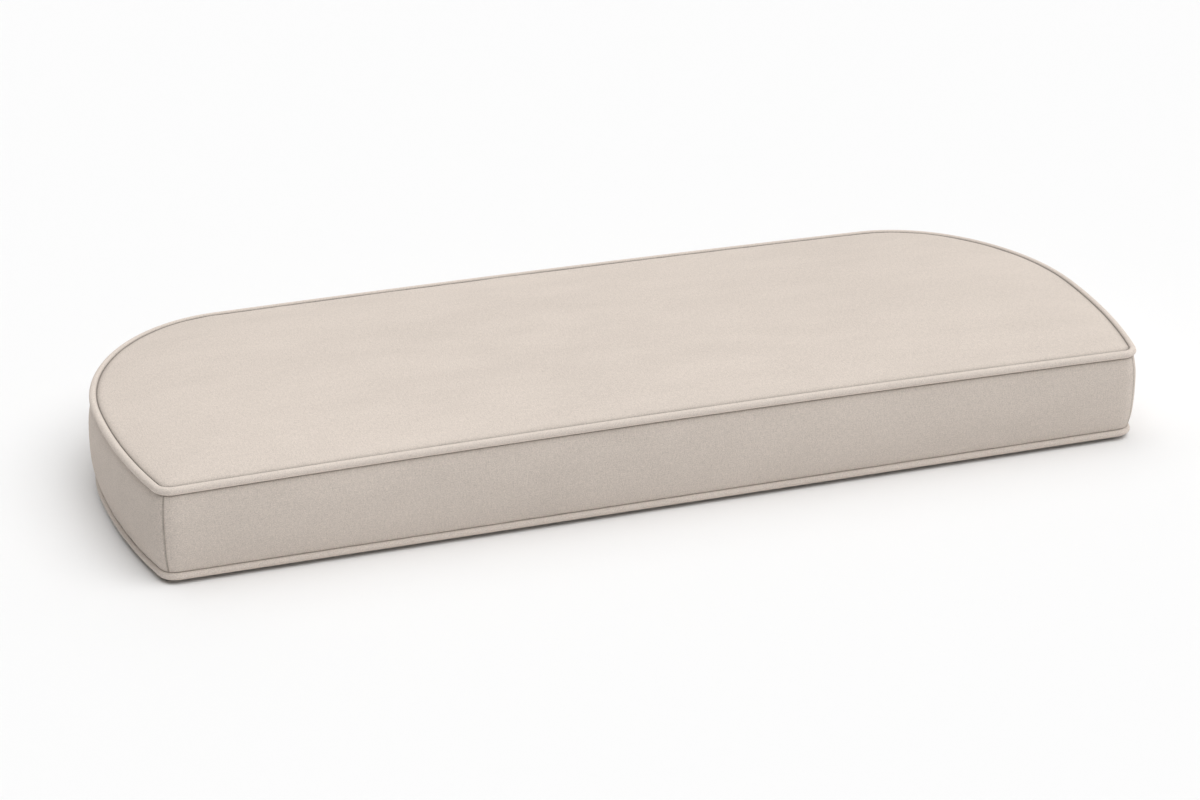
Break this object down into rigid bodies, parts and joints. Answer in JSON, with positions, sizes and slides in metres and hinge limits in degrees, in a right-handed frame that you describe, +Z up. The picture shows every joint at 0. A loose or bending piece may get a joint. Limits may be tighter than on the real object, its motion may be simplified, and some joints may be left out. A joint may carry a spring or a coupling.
{
  "type": "bench cushion",
  "caption": "Long filled bench cushion with a straight front, rounded back corners, an upright boxing band and self-fabric piping round its top and bottom edges.",
  "frame": {"origin": "middle of the overall length and depth, on the surface that the cushion lies on", "axes": "+X along the length, the straight front edge faces -Y and the edge with rounded corners faces +Y, +Z is up through the thickness"},
  "size_m": [1.0708, 0.4118, 0.1102],
  "materials": {
    "cover_fabric": "matte brushed beige upholstery cloth with a fine plain weave",
    "piping_fabric": "the same beige cloth cut on the bias and wrapped round a cord"
  },
  "bodies": {
    "root": {"cushion_body": "cover_fabric", "top_piping": "piping_fabric", "bottom_piping": "piping_fabric"}
  },
  "joints": []
}
